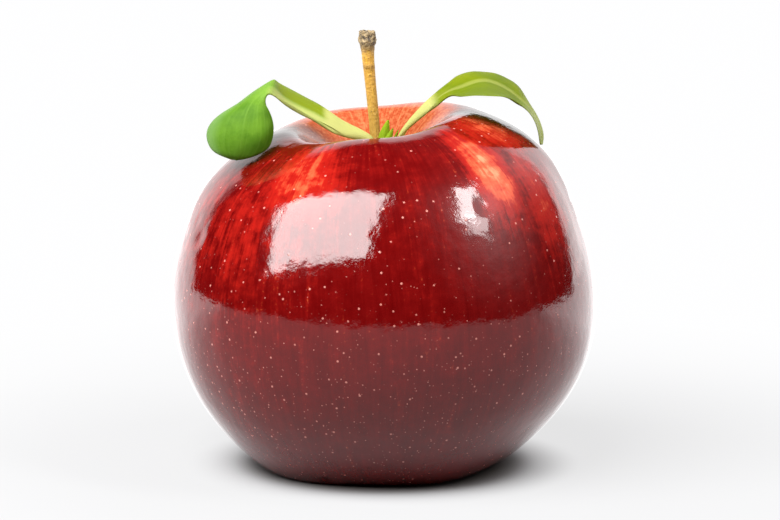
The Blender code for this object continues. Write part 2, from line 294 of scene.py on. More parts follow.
bright = np.zeros_like(along)
for facing, spread, middle, reach, strength in BRIGHT_PATCHES:
    patch = strength * bump_of(turn_between(angle, facing), 0.0, spread) * bump_of(along, middle, reach)
    bright = np.maximum(bright, patch)
hollow_end = HOLLOW_END + HOLLOW_EXTRA * smoothstep(0.5 + 0.9 * np.sin(angle))
hollow = 1.0 - smoothstep((along - hollow_end + 0.05) / HOLLOW_FADE)
basin_ground = smoothstep((along - BASIN_START) / BASIN_FADE)
zones = np.stack((bright, hollow, basin_ground), axis=-1)
growth = np.stack((np.cos(angle), np.sin(angle), along), axis=-1)


def with_ends(values):
    """The values of the inner rows, then those of the two end points."""
    return np.concatenate((values[1:-1].reshape(-1, 3), values[:1, 0], values[-1:, 0]))


fruit = make_piece(
    "apple_skin",
    np.concatenate((inner, ends)) + slide,
    fruit_faces,
    {"zones": with_ends(zones), "growth": with_ends(growth)},
)
print(len(BRIGHT_PATCHES), "bright patches on", len(fruit.data.vertices), "points of skin")

# %% [markdown]
# ## Building finishes from nodes
# Each finish is a small tree of shader nodes. Short helpers keep the trees readable: one adds a node and
# wires its inputs, and the rest name what a finish does most often, such as arithmetic, easing from one
# value to another, mixing two colours, fractal grain, reading a point's place in the growth, and bumps.


# %% Node helpers
def start_material(name):
    """A new material, its node tree and its main shader."""
    material = bpy.data.materials.new(name)
    material.use_nodes = True
    return material, material.node_tree, material.node_tree.nodes["Principled BSDF"]


def node(tree, kind, inputs=None, **settings):
    """Add a node, set its options, and give each input a value or a wire."""
    made = tree.nodes.new("ShaderNode" + kind)
    for title, value in settings.items():
        setattr(made, title, value)
    for key, value in (inputs or {}).items():
        if isinstance(value, bpy.types.NodeSocket):
            tree.links.new(value, made.inputs[key])
        else:
            made.inputs[key].default_value = value
    return made


def sums(tree, operation, first, second=0.0, third=0.0):
    """One step of arithmetic."""
    return node(tree, "Math", {0: first, 1: second, 2: third}, operation=operation).outputs[0]


def ease(tree, value, low, high, out_low=0.0, out_high=1.0):
    """Map a value from low..high to out_low..out_high along a smooth step."""
    inputs = {"Value": value, "From Min": low, "From Max": high, "To Min": out_low, "To Max": out_high}
    return node(tree, "MapRange", inputs, interpolation_type="SMOOTHSTEP").outputs["Result"]


def mix(tree, factor, first, second):
    """Mix two colours; a plain colour is written as red, green, blue."""
    # A mix node keeps its colours in inputs 6 and 7 and in output 2; the ones before are for numbers.
    made = node(tree, "Mix", data_type="RGBA")
    colours = [c if isinstance(c, bpy.types.NodeSocket) else (*c, 1.0) for c in (first, second)]
    for socket, value in zip((made.inputs[0], made.inputs[6], made.inputs[7]), (factor, *colours)):
        if isinstance(value, bpy.types.NodeSocket):
            tree.links.new(value, socket)
        else:
            socket.default_value = value
    return made.outputs[2]


def grain(tree, place, scale, detail=3.0, roughness=0.55, distortion=0.0):
    """Fractal noise, 0 to 1."""
    inputs = {"Vector": place, "Scale": scale, "Detail": detail, "Roughness": roughness}
    inputs["Distortion"] = distortion
    return node(tree, "TexNoise", inputs).outputs[0]


def scaled(tree, vector, factors):
    """A vector stretched along its three axes."""
    return node(tree, "VectorMath", {0: vector, 1: factors}, operation="MULTIPLY").outputs[0]


def read(tree, title):
    """A point attribute, whole and as its three parts."""
    vector = node(tree, "Attribute", attribute_name=title).outputs["Vector"]
    return vector, node(tree, "SeparateXYZ", {0: vector}).outputs


def raised(tree, height, distance, below=None):
    """A bump of that many metres for a height of 0 to 1, laid over the one below."""
    inputs = {"Height": height, "Distance": distance}
    if below is not None:
        inputs["Normal"] = below
    return node(tree, "Bump", inputs).outputs[0]


# %% [markdown]
# ## The skin
# From below to above, apple skin is a yellow ground, a red blush laid on in streaks that run from stem
# to calyx, fine mottling of deep red and crimson, and lenticels: the pale breathing pores. The pores come
# from a 3-D Voronoi pattern, cut by the surface: where a cell's centre lies close to the skin, a dot shows,
# so their sizes vary by themselves. Wax makes it glossy, and a very shallow grain keeps reflections from
# being perfect.

# %% The skin's finish
DEEP_RED = (0.070, 0.0006, 0.0008)
CRIMSON = (0.108, 0.0020, 0.0020)
RED = (0.240, 0.0065, 0.0040)
ORANGE = (0.48, 0.066, 0.026)
GROUND = (0.58, 0.185, 0.095)
HOLLOW_RED = (0.30, 0.050, 0.016)
HOLLOW_PALE = (0.42, 0.145, 0.060)
DEEP_GROUND = (0.60, 0.42, 0.12)
LENTICEL = (0.55, 0.21, 0.17)
PORE_SPACINGS = (2.3, 1.5, 1.05)
PORE_SIZES = (0.125, 0.115, 0.15)
SKIN_IOR = 1.47


def skin_colour(tree, place):
    """Red blush over a yellow ground, streaked along the growth."""
    growth_vector, _ = read(tree, "growth")
    _, (blushing, in_hollow, in_basin) = read(tree, "zones")
    broad = grain(tree, scaled(tree, growth_vector, (3.0, 3.0, 2.2)), 1.0, 3.0)
    streaks = grain(tree, scaled(tree, growth_vector, (30.0, 30.0, 8.0)), 1.0, 5.0, 0.66, 0.6)
    patches = grain(tree, place, 380.0, 4.0, 0.58)
    mottle = grain(tree, place, 1500.0, 3.0, 0.6)
    edge = sums(tree, "ADD", sums(tree, "MULTIPLY", broad, 0.5), sums(tree, "MULTIPLY", streaks, 0.5))
    edge = sums(tree, "ADD", edge, sums(tree, "MULTIPLY", mottle, 0.24))
    edge = sums(tree, "ADD", edge, sums(tree, "MULTIPLY", patches, 0.40))
    blush = sums(tree, "MULTIPLY", blushing, ease(tree, patches, 0.30, 0.70, 0.75, 1.15))
    blush = sums(tree, "MULTIPLY", blush, ease(tree, streaks, 0.32, 0.68, 0.86, 1.10))
    lit = sums(tree, "ADD", blush, sums(tree, "SUBTRACT", edge, 0.845))
    deep = sums(tree, "ADD", sums(tree, "MULTIPLY", patches, 0.5), sums(tree, "MULTIPLY", streaks, 0.5))
    colour = mix(tree, ease(tree, deep, 0.28, 0.72), DEEP_RED, CRIMSON)
    colour = mix(tree, ease(tree, lit, 0.02, 0.52), colour, RED)
    colour = mix(tree, ease(tree, lit, 0.52, 1.05), colour, ORANGE)
    colour = mix(tree, ease(tree, lit, 0.98, 1.60), colour, GROUND)
    uneven = sums(tree, "ADD", sums(tree, "MULTIPLY", streaks, 1.4), sums(tree, "MULTIPLY", mottle, 1.3))
    pale = sums(tree, "ADD", in_hollow, sums(tree, "SUBTRACT", uneven, 1.35))
    colour = mix(tree, ease(tree, pale, 0.25, 0.75, 0.0, 0.85), colour, HOLLOW_RED)
    colour = mix(tree, ease(tree, pale, 0.75, 1.40, 0.0, 0.80), colour, HOLLOW_PALE)
    under = sums(tree, "ADD", in_basin, sums(tree, "MULTIPLY", sums(tree, "SUBTRACT", streaks, 0.5), 0.9))
    colour = mix(tree, ease(tree, under, 0.35, 1.0, 0.0, 0.9), colour, DEEP_GROUND)
    return colour


def lenticels(tree, place, spacing, size):
    """Pale dots where a cell centre lies within size, a share of the spacing, of the skin."""
    cells = node(tree, "TexVoronoi", {"Vector": place, "Scale": 1.0 / (spacing * MM)}, feature="F1")
    return ease(tree, cells.outputs["Distance"], size, size * 0.35)


def all_pores(tree, place):
    """Large pores everywhere, small and tiny ones mostly on the lower half."""
    _, (_, _, down) = read(tree, "growth")
    large = lenticels(tree, place, PORE_SPACINGS[0], PORE_SIZES[0])
    small = lenticels(tree, scaled(tree, place, (1.0, 1.0, 1.01)), PORE_SPACINGS[1], PORE_SIZES[1])
    small = sums(tree, "MULTIPLY", small, ease(tree, down, 0.34, 0.62, 0.25, 0.95))
    tiny = lenticels(tree, scaled(tree, place, (1.01, 1.0, 1.0)), PORE_SPACINGS[2], PORE_SIZES[2])
    tiny = sums(tree, "MULTIPLY", tiny, ease(tree, down, 0.42, 0.66, 0.0, 0.7))
    return sums(tree, "MAXIMUM", sums(tree, "MAXIMUM", large, small), tiny)


def skin_finish():
    material, tree, shader = start_material("apple_skin")
    place = node(tree, "TexCoord").outputs["Object"]
    colour = skin_colour(tree, place)
    dots = all_pores(tree, place)
    colour = mix(tree, sums(tree, "MULTIPLY", dots, 0.70), colour, LENTICEL)
    tree.links.new(colour, shader.inputs["Base Color"])
    rough = ease(tree, grain(tree, place, 260.0), 0.3, 0.7, 0.055, 0.10)
    tree.links.new(sums(tree, "MULTIPLY_ADD", dots, 0.25, rough), shader.inputs["Roughness"])
    bumps = raised(tree, grain(tree, place, 620.0, 4.0, 0.6), 0.000038)
    bumps = raised(tree, grain(tree, place, 150.0, 2.0), 0.00015, bumps)
    tree.links.new(raised(tree, dots, 0.000012, bumps), shader.inputs["Normal"])
    shader.inputs["IOR"].default_value = SKIN_IOR
    return material


fruit.data.materials.append(skin_finish())
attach(fruit, "root")
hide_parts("fruit")
print("skin with pores every", PORE_SPACINGS, "mm")

# %% [markdown]
# ## The stem
# The stalk is a twig: round, a little bent, and thicker where it was cut from the spur. The tube is built
# ring by ring along a smooth line. Its last few millimetres are knobby and corky, so noise pushes those
# rings in and out, and the cut face is a shallow dish with a slightly raised rim.

# %% The stem's mesh
STEM_PATH = ((-1.5, 0.0, 53.2), (-1.9, 0.0, 58.5), (-2.9, 0.1, 70.5), (-3.5, 0.0, 77.0), (-3.7, 0.0, 82.2))
STEM_PLACES = (0.0, 0.16, 0.40, 0.60, 0.76, 0.85, 0.93, 1.0)
STEM_RADII = (1.35, 1.0, 1.0, 1.02, 1.1, 1.2, 1.66, 1.50)
STEM_STEPS = 190
STEM_SIDES = 64
STEM_LENGTH = 29.0
HEAD_SHARE = 4.6 / STEM_LENGTH
KNOT_PLACE = 0.745
KNOT_HEIGHT = 0.16
FIBRE_DEPTH = 0.035
# Each grain of the cork: its depth, and how fine it is.
CORK_GRAINS = ((0.30, 0.75), (0.20, 1.9), (0.07, 5.0))
# Each ring of the cut face: its share of the rim's width, and how deep it lies.
DISH_RINGS = ((0.86, -0.10), (0.70, 0.10), (0.48, 0.30), (0.25, 0.42), (0.08, 0.45))

stem_path = spline(STEM_PATH, STEM_STEPS)
stem_share = np.linspace(0.0, 1.0, STEM_STEPS)
stem_radius = np.interp(stem_share, STEM_PLACES, STEM_RADII)
stem_turn = np.linspace(0.0, math.tau, STEM_SIDES, endpoint=False)
stem_rings = []
for middle, reach, share in zip(stem_path, stem_radius, stem_share):
    head = float(smoothstep((share - 1.0 + HEAD_SHARE) / HEAD_SHARE * 1.6))
    knot_here = KNOT_HEIGHT * float(bump_of(share, KNOT_PLACE, 0.022))
    points = []
    for side in stem_turn:
        outward = Vector((math.cos(side), math.sin(side), 0.0))
        rim = Vector(middle) + outward * float(reach)
        fibre = FIBRE_DEPTH * noise.noise(Vector((outward.x * 5.0, outward.y * 5.0, rim.z * 0.25)))
        cork = head * sum(depth * noise.noise(rim * fineness) for depth, fineness in CORK_GRAINS)
        knot = knot_here * max(0.0, -outward.y * 0.8 + outward.x * 0.2)
        points.append(rim + outward * (fibre + cork + knot))
    stem_rings.append(points)
cut_centre = Vector(stem_path[-1])
for share, drop in DISH_RINGS:
    dish = []
    for point in stem_rings[STEM_STEPS - 1]:
        inward = cut_centre + (point - cut_centre) * share
        inward.z = cut_centre.z - drop + 0.22 * noise.noise(inward * 2.2)
        dish.append(inward)
    stem_rings.append(dish)
stem_points = np.array(stem_rings)
stem_rows = len(stem_points)
stem_faces = grid_faces(stem_rows, STEM_SIDES, closed=True)
stem_faces.append(tuple(range(STEM_SIDES)))
stem_faces.append(tuple((stem_rows - 1) * STEM_SIDES + side for side in reversed(range(STEM_SIDES))))
stem_along, stem_around = np.meshgrid(np.linspace(0.0, 1.0, stem_rows), stem_turn, indexing="ij")
stem_round = np.stack((np.cos(stem_around), np.sin(stem_around), stem_along), axis=-1)
stem = make_piece("stem_bark", stem_points + slide, stem_faces, {"growth": stem_round})
print("stem", len(stem.data.polygons), "faces, top at", round(float(stem_points[..., 2].max()), 2), "mm")

# %% [markdown]
# Young bark is ochre, darker and a little greener low down towards its foot in the hollow, with fibres
# along it and a few dark specks. The head is dead cork: grey-brown, cracked, with pale and black bits.

# %% The bark's finish
OCHRE = (0.58, 0.32, 0.020)
BARK_SHADE = (0.42, 0.21, 0.035)
GREEN_BARK = (0.34, 0.20, 0.022)
CORK = (0.27, 0.19, 0.09)
CORK_DARK = (0.035, 0.022, 0.012)
CORK_PALE = (0.56, 0.44, 0.26)


def bark_finish():
    material, tree, shader = start_material("stem_bark")
    place = node(tree, "TexCoord").outputs["Object"]
    growth_vector, (_, _, up) = read(tree, "growth")
    fibres = grain(tree, scaled(tree, growth_vector, (9.0, 9.0, 16.0)), 1.0, 5.0, 0.6)
    specks = grain(tree, place, 2600.0, 2.0)
    colour = mix(tree, ease(tree, fibres, 0.30, 0.70), BARK_SHADE, OCHRE)
    colour = mix(tree, ease(tree, up, 0.75, 0.30, 0.0, 0.85), colour, GREEN_BARK)
    colour = mix(tree, ease(tree, specks, 0.66, 0.76, 0.0, 0.8), colour, CORK_DARK)
    # The rings of the cut face take the last places, so the knot's own place is a little lower here.
    from_knot = sums(tree, "ABSOLUTE", sums(tree, "SUBTRACT", up, KNOT_PLACE - 0.02))
    colour = mix(tree, sums(tree, "MULTIPLY", ease(tree, from_knot, 0.03, 0.004), 0.35), colour, CORK_DARK)
    crumbs = grain(tree, place, 1300.0, 5.0, 0.7)
    cork = mix(tree, ease(tree, crumbs, 0.36, 0.58), CORK_DARK, CORK)
    cork = mix(tree, ease(tree, crumbs, 0.60, 0.70), cork, CORK_PALE)
    head = ease(tree, sums(tree, "ADD", up, sums(tree, "MULTIPLY", crumbs, 0.10)), 0.84, 0.94)
    tree.links.new(mix(tree, head, colour, cork), shader.inputs["Base Color"])
    bumps = raised(tree, fibres, 0.00015)
    tree.links.new(raised(tree, crumbs, 0.00030, bumps), shader.inputs["Normal"])
    shader.inputs["Roughness"].default_value = 0.62
    return material


stem.data.materials.append(bark_finish())
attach(stem, "root")
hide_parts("stem")
print("bark on", len(stem.data.vertices), "points")

# %% [markdown]
# ## The leaves
# A leaf is a surface stretched over four lines that run its length: the near margin, the midrib, the crest
# where the far half bends over, and the far margin. Fifteen points on each give a stalk, a sharp fold and
# a spoon-shaped blade. A flat sheet bent by a modifier could not fold over itself like that. The sheet is
# then thickened: thick and rounded along the stalk, paper-thin at the margins. Veins are real relief.

# %% Leaf rails
LEFT_NEAR = (
    (-2.9, -3.8, 55.0), (-2.6, -4.3, 61.2), (-4.7, -4.6, 62.2), (-8.0, -5.5, 63.0), (-11.0, -6.2, 64.9),
    (-14.3, -7.2, 67.1), (-19.1, -8.4, 70.1), (-21.6, -9.2, 71.3), (-22.4, -9.8, 70.0),
    (-21.9, -10.4, 68.7), (-21.1, -11.0, 66.8), (-20.9, -11.5, 64.6), (-21.7, -11.8, 61.9),
    (-23.9, -11.6, 60.4), (-26.9, -11.0, 59.5),
)
LEFT_MIDRIB = (
    (-3.1, -3.3, 54.7), (-2.9, -4.0, 62.0), (-4.9, -4.3, 63.3), (-8.2, -4.9, 64.2), (-11.2, -5.2, 65.7),
    (-14.3, -5.4, 67.5), (-19.6, -6.4, 70.6), (-21.4, -7.8, 72.3), (-23.5, -9.2, 71.0),
    (-25.0, -10.8, 69.7), (-26.4, -12.3, 67.1), (-27.0, -13.0, 64.0), (-27.4, -12.7, 61.4),
    (-27.6, -12.1, 60.1), (-27.7, -11.2, 59.5),
)
LEFT_CREST = (
    (-3.3, -3.0, 54.8), (-3.1, -3.6, 62.5), (-5.0, -3.8, 63.8), (-8.4, -3.9, 65.4), (-11.3, -3.6, 67.4),
    (-14.3, -1.5, 69.3), (-20.4, -2.0, 72.7), (-21.4, -3.2, 73.2), (-24.5, -5.6, 71.5),
    (-27.7, -7.6, 69.3), (-31.5, -8.8, 66.8), (-33.0, -9.4, 64.2), (-32.5, -10.4, 61.8),
    (-30.9, -11.0, 60.4), (-28.5, -11.0, 59.5),
)
LEFT_FAR = (
    (-3.4, -2.9, 55.0), (-3.2, -3.5, 62.8), (-5.0, -3.5, 64.0), (-8.5, -2.6, 65.4), (-11.4, -1.8, 67.1),
    (-14.6, 4.5, 67.5), (-20.1, 5.6, 70.5), (-22.1, 4.6, 71.1), (-24.3, 3.4, 69.5), (-26.9, 1.6, 67.6),
    (-29.8, -0.6, 65.4), (-31.0, -2.2, 63.1), (-30.9, -5.0, 61.3), (-29.8, -8.4, 60.2),
    (-28.7, -10.7, 59.5),
)
RIGHT_NEAR = (
    (0.8, -2.3, 55.7), (2.6, -2.8, 62.4), (5.3, -3.1, 65.3), (8.4, -3.5, 67.9), (11.3, -5.0, 70.5),
    (13.7, -8.6, 70.9), (16.1, -10.2, 71.2), (18.2, -10.6, 71.2), (20.3, -10.4, 71.1), (22.2, -9.8, 70.8),
    (23.9, -8.9, 69.9), (25.4, -7.8, 68.7), (26.9, -6.2, 66.9), (28.1, -3.8, 64.1), (28.7, -1.8, 61.2),
)
RIGHT_MIDRIB = (
    (1.0, -1.9, 55.5), (2.7, -2.5, 62.9), (5.2, -2.8, 66.0), (8.2, -3.0, 68.6), (11.3, -2.6, 71.0),
    (13.9, -1.8, 71.9), (16.3, -1.0, 72.7), (18.6, -0.4, 72.9), (20.8, 0.0, 72.2), (22.8, 0.2, 71.1),
    (24.5, 0.2, 69.8), (26.0, 0.1, 68.5), (27.4, 0.1, 66.8), (28.7, -0.5, 63.9), (28.9, -1.3, 61.0),
)
RIGHT_CREST = (
    (1.1, -1.6, 55.6), (2.7, -2.2, 63.3), (5.1, -2.5, 66.4), (7.9, -2.2, 69.3), (11.2, -0.6, 72.2),
    (13.9, 3.0, 73.7), (16.4, 5.0, 74.0), (18.8, 6.5, 73.7), (21.0, 6.8, 73.3), (23.0, 6.4, 72.4),
    (24.8, 5.4, 71.2), (26.2, 4.4, 69.1), (27.7, 3.4, 66.8), (29.2, 1.4, 63.4), (29.1, -0.8, 61.0),
)
RIGHT_FAR = (
    (1.2, -1.5, 55.7), (2.6, -2.1, 63.5), (5.0, -2.2, 66.5), (8.0, -1.4, 69.1), (11.4, 2.0, 71.3),
    (14.3, 10.0, 70.9), (16.9, 14.5, 69.4), (19.3, 16.0, 68.9), (21.6, 16.0, 68.7), (23.5, 15.0, 68.3),
    (25.0, 13.0, 67.8), (26.3, 10.5, 66.9), (27.7, 8.0, 65.4), (28.9, 4.0, 63.0), (29.2, -0.3, 61.0),
)
RAIL_PLACES = (-1.0, 0.0, 0.5, 1.0)
SMALL_PLACES = (-1.0, 0.0, 1.0)
left_length = sum(math.dist(first, second) for first, second in zip(LEFT_MIDRIB, LEFT_MIDRIB[1:]))
print("left leaf", round(left_length, 1), "mm long")


# %% Stretch a blade over its rails
def make_blade(name, rails, places, grid, thicknesses, stalk_end, vein_depth):
    """A thin leaf over its rails. Its stalk, up to the share stalk_end, is thick and rounded."""
    steps, columns = grid
    thickness, stalk_thickness = thicknesses
    loft = spline(np.hstack(rails), steps).reshape(steps, len(rails), 3)
    weights = spline(np.eye(len(rails)), columns, places)
    sheet = np.einsum("ck,skx->scx", weights, loft)
    u = np.linspace(-1.0, 1.0, columns)[None, :, None]
    v = np.linspace(0.0, 1.0, steps)[:, None, None]
    blade_share = smoothstep((v - stalk_end) / 0.15)
    side_veins = np.sin(70.0 * v + 7.0 * np.abs(u)) * smoothstep(np.abs(u) * 3.0) * (1.0 - u * u)
    relief = vein_depth * (0.35 * side_veins - 1.6 * np.exp(-((u / 0.09) ** 2))) * blade_share
    sheet = sheet + surface_normals(sheet, closed=False) * relief
    marks = np.concatenate((u + 0.0 * v, v + 0.0 * u, blade_share + 0.0 * u), axis=-1)
    leaf = make_piece(name, sheet + slide, grid_faces(steps, columns, closed=False), {"blade": marks})
    group = leaf.vertex_groups.new(name="thickness")
    thick = (1.0 - blade_share) + blade_share * thickness / stalk_thickness
    round_edge = np.sqrt(1.0 - 0.93 * u * u)
    for index, weight in enumerate((thick * round_edge).reshape(-1)):
        group.add([index], float(weight), "REPLACE")
    solid = leaf.modifiers.new("thickness", "SOLIDIFY")
    solid.thickness = stalk_thickness * MM
    solid.offset = 0.0
    solid.vertex_group = group.name
    solid.thickness_vertex_group = 0.0
    return leaf


left_rails = (LEFT_NEAR, LEFT_MIDRIB, LEFT_CREST, LEFT_FAR)
right_rails = (RIGHT_NEAR, RIGHT_MIDRIB, RIGHT_CREST, RIGHT_FAR)
leaf_left = make_blade("leaf_left_blade", left_rails, RAIL_PLACES, (280, 57), (0.34, 1.10), 0.27, 0.06)
leaf_right = make_blade("leaf_right_blade", right_rails, RAIL_PLACES, (260, 57), (0.34, 1.05), 0.24, 0.06)
for leaf in (leaf_left, leaf_right):
    print(leaf.name, len(leaf.data.polygons), "faces before thickening")

# %% [markdown]
# Young leaf tissue is bright yellow-green and lets light through, so the finish mixes a satin surface
# with a translucent one. Colour changes over the leaf: the stalk is pale, the left leaf is yellowish before
# its fold, green after it and paler where its far half curls over, and the right leaf pales at its tip.
# Painted shade darkens the left leaf where its tip curls under and the right leaf's near half below its
# midrib. Each of those is a wash, laid on between two places across the blade and two places along it.

# %% Leaf finishes
LEAF_GREEN = (0.110, 0.235, 0.014)
LEAF_DARK_AND_TIP_SHADE = (0.046, 0.135, 0.004)
LEAF_LIGHT = (0.180, 0.330, 0.040)
OLIVE = (0.165, 0.200, 0.003)
OLIVE_DARK_AND_SHADE = (0.108, 0.155, 0.002)
OLIVE_LIGHT = (0.210, 0.260, 0.010)
STALK_PALE = (0.430, 0.430, 0.140)
CURL_PALE = (0.140, 0.260, 0.070)
TIP_PALE = (0.350, 0.380, 0.130)
EVERYWHERE = (-2.0, -1.9)
LEAF_ROUGHNESS = 0.55
LEAF_GLOSS = 0.1
LEAF_GLOW = 0.32
GLOW_YELLOW = (0.60, 0.75, 0.02)
# Each wash: where it sets in across and along the blade, its colour and its strength.
LEFT_WASHES = (
    # Darker towards the tip, where the blade curls under away from the light: painted shade.
    (EVERYWHERE, (0.80, 1.0), LEAF_DARK_AND_TIP_SHADE, 0.80),
    (EVERYWHERE, (0.74, 0.60), LEAF_LIGHT, 0.55),
    ((0.24, 0.44), (0.58, 0.66), CURL_PALE, 0.80),
    ((-0.10, 0.12), (0.58, 0.50), OLIVE, 0.90),
    ((0.12, -0.10), (0.60, 0.52), STALK_PALE, 0.85),
)
RIGHT_WASHES = (
    # Darker on the near half, which hangs below the midrib: painted shade.
    ((0.05, -0.15), (0.30, 0.42), OLIVE_DARK_AND_SHADE, 0.80),
    (EVERYWHERE, (0.72, 0.90), TIP_PALE, 0.85),
)


def leaf_finish(name, base, dark, light, rib=0.0, washes=()):
    """Leaf tissue in three greens, with washes over it; rib says how pale its midrib is."""
    material, tree, shader = start_material(name)
    place = node(tree, "TexCoord").outputs["Object"]
    blade_vector, (side, along_blade, past_stalk) = read(tree, "blade")
    across = sums(tree, "ABSOLUTE", side)
    lines = grain(tree, scaled(tree, blade_vector, (16.0, 2.5, 1.0)), 1.0, 4.0, 0.6)
    blotch = grain(tree, place, 210.0, 3.0)
    colour = mix(tree, ease(tree, blotch, 0.30, 0.72), dark, base)
    for (first, last), (start, end), tint, strength in washes:
        here = sums(tree, "MULTIPLY", ease(tree, side, first, last), ease(tree, along_blade, start, end))
        colour = mix(tree, sums(tree, "MULTIPLY", here, strength), colour, tint)
    colour = mix(tree, ease(tree, lines, 0.45, 0.75, 0.0, 0.35), colour, light)
    colour = mix(tree, ease(tree, across, 0.92, 1.0, 0.0, 0.4), colour, light)
    on_rib = ease(tree, across, 0.10, 0.02, 0.0, rib)
    on_stalk = ease(tree, past_stalk, 0.55, 0.05, 0.0, 0.92)
    colour = mix(tree, sums(tree, "MAXIMUM", on_rib, on_stalk), colour, STALK_PALE)
    tree.links.new(colour, shader.inputs["Base Color"])
    shader.inputs["Roughness"].default_value = LEAF_ROUGHNESS
    shader.inputs["Specular IOR Level"].default_value = LEAF_GLOSS
    bumps = raised(tree, lines, 0.00006)
    bumps = raised(tree, grain(tree, place, 2200.0, 3.0), 0.00003, bumps)
    tree.links.new(bumps, shader.inputs["Normal"])
    through = mix(tree, 0.35, colour, GLOW_YELLOW)
    glowing = node(tree, "BsdfTranslucent", {"Color": through, "Normal": bumps})
    both = node(tree, "MixShader", {0: LEAF_GLOW, 1: shader.outputs[0], 2: glowing.outputs[0]})
    tree.links.new(both.outputs[0], tree.nodes["Material Output"].inputs["Surface"])
    return material


green = leaf_finish("leaf_green", LEAF_GREEN, LEAF_DARK_AND_TIP_SHADE, LEAF_LIGHT, 0.0, LEFT_WASHES)
olive = leaf_finish("leaf_olive", OLIVE, OLIVE_DARK_AND_SHADE, OLIVE_LIGHT, 0.28, RIGHT_WASHES)
for leaf, cad_name, finish in ((leaf_left, "leaf_left", green), (leaf_right, "leaf_right", olive)):
    leaf.data.materials.append(finish)
    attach(leaf, "root")
    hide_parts(cad_name)
print("left leaf with", len(LEFT_WASHES), "washes, right leaf with", len(RIGHT_WASHES))

# %% [markdown]
# ## Shoots beside the stem
# Three folded leaflets stand beside the foot of the stem. Each is a blade with short rails of its own,
# set either side of a line through foot, middle and tip.

# %% Shoots
# Each shoot: its line and half its width.
SHOOTS = {
    "bud_tall": (((-0.9, -3.1, 54.9), (-0.5, -3.0, 62.9), (0.2, -2.6, 65.8)), 1.0),
    "bud_mid": (((0.0, -4.8, 57.2), (0.2, -4.6, 62.2), (1.1, -4.2, 64.4)), 0.75),
    "bud_tip": (((1.3, -3.5, 56.8), (1.3, -3.7, 61.8), (2.1, -3.9, 64.0)), 0.4),
}
SHOOT_GREEN = (0.26, 0.37, 0.010)
SHOOT_DARK = (0.17, 0.28, 0.006)
SHOOT_LIGHT = (0.38, 0.47, 0.03)

shoot_green = leaf_finish("shoot_green", SHOOT_GREEN, SHOOT_DARK, SHOOT_LIGHT)
for cad_name, (line, half_width) in SHOOTS.items():
    foot, middle, tip = np.array(line)
    side = np.array((half_width, 0.0, 0.0))
    back = np.array((0.0, 0.4 * half_width, 0.0))
    lower_rail = (foot - side / 2.0 + back, middle - side + back, tip - side / 6.0)
    upper_rail = (foot + side / 2.0 + back, middle + side + back, tip + side / 6.0)
    rails = (lower_rail, line, upper_rail)
    shoot = make_blade(cad_name + "_blade", rails, SMALL_PLACES, (48, 17), (0.30, 0.5), 0.05, 0.02)
    shoot.data.materials.append(shoot_green)
    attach(shoot, "root")
    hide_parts(cad_name)
print(len(SHOOTS), "shoots")

# %% [markdown]
# ## The dried calyx
# Under the fruit the flower left five withered sepals and a tuft of stamens. Nobody sees them while the
# apple stands, but it is often turned over. The sepals are small blades that lean in over the tuft, and
# each stamen is a thin curved thread, all of them in one mesh.

# %% Sepals
# The sepals' line as distance from the middle and height, and half their width at each of its points.
SEPAL_RAIL = ((2.9, 7.2), (3.2, 5.6), (2.6, 3.9), (1.5, 3.0))
SEPAL_WIDTHS = (1.0, 1.25, 0.9, 0.15)
DRY_BROWN = (0.13, 0.075, 0.038)
DRY_DARK = (0.05, 0.03, 0.018)
DRY_PALE = (0.30, 0.24, 0.15)


def dry_finish():
    material, tree, shader = start_material("calyx_brown")
    place = node(tree, "TexCoord").outputs["Object"]
    crumbs = grain(tree, place, 1400.0, 5.0, 0.65)
    colour = mix(tree, ease(tree, crumbs, 0.35, 0.65), DRY_DARK, DRY_BROWN)
    colour = mix(tree, ease(tree, crumbs, 0.60, 0.75, 0.0, 0.6), colour, DRY_PALE)
    tree.links.new(colour, shader.inputs["Base Color"])
    tree.links.new(raised(tree, crumbs, 0.0002), shader.inputs["Normal"])
    shader.inputs["Roughness"].default_value = 0.85
    return material


calyx_brown = dry_finish()
for number in range(LOBES):
    facing = math.tau * number / LOBES - LOBE_TURN
    outward = np.array((math.cos(facing), math.sin(facing), 0.0))
    side = np.array((-math.sin(facing), math.cos(facing), 0.0))
    line = [outward * reach + np.array((0.0, 0.0, level)) for reach, level in SEPAL_RAIL]
    lower_rail = [point - side * width - outward * 0.3 for point, width in zip(line, SEPAL_WIDTHS)]
    upper_rail = [point + side * width - outward * 0.3 for point, width in zip(line, SEPAL_WIDTHS)]
    rails = (lower_rail, line, upper_rail)
    sepal = make_blade(f"sepal_{number + 1}_blade", rails, SMALL_PLACES, (40, 15), (0.22, 0.4), 0.1, 0.05)
    sepal.data.materials.append(calyx_brown)
    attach(sepal, "root")
    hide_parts(f"sepal_{number + 1}")
print(LOBES, "sepals")

# %% Stamens
STAMENS = 14
STAMEN_SIDES = 8
STAMEN_STEPS = 14
TUFT_RADIUS = 0.62
STAMEN_FOOT = 7.6
STAMEN_TIP = 4.3


def round_the_tuft(reach, facing, level):
    """The point at a distance and a bearing from the middle, at a height."""
    return np.array((reach * math.cos(facing), reach * math.sin(facing), level))


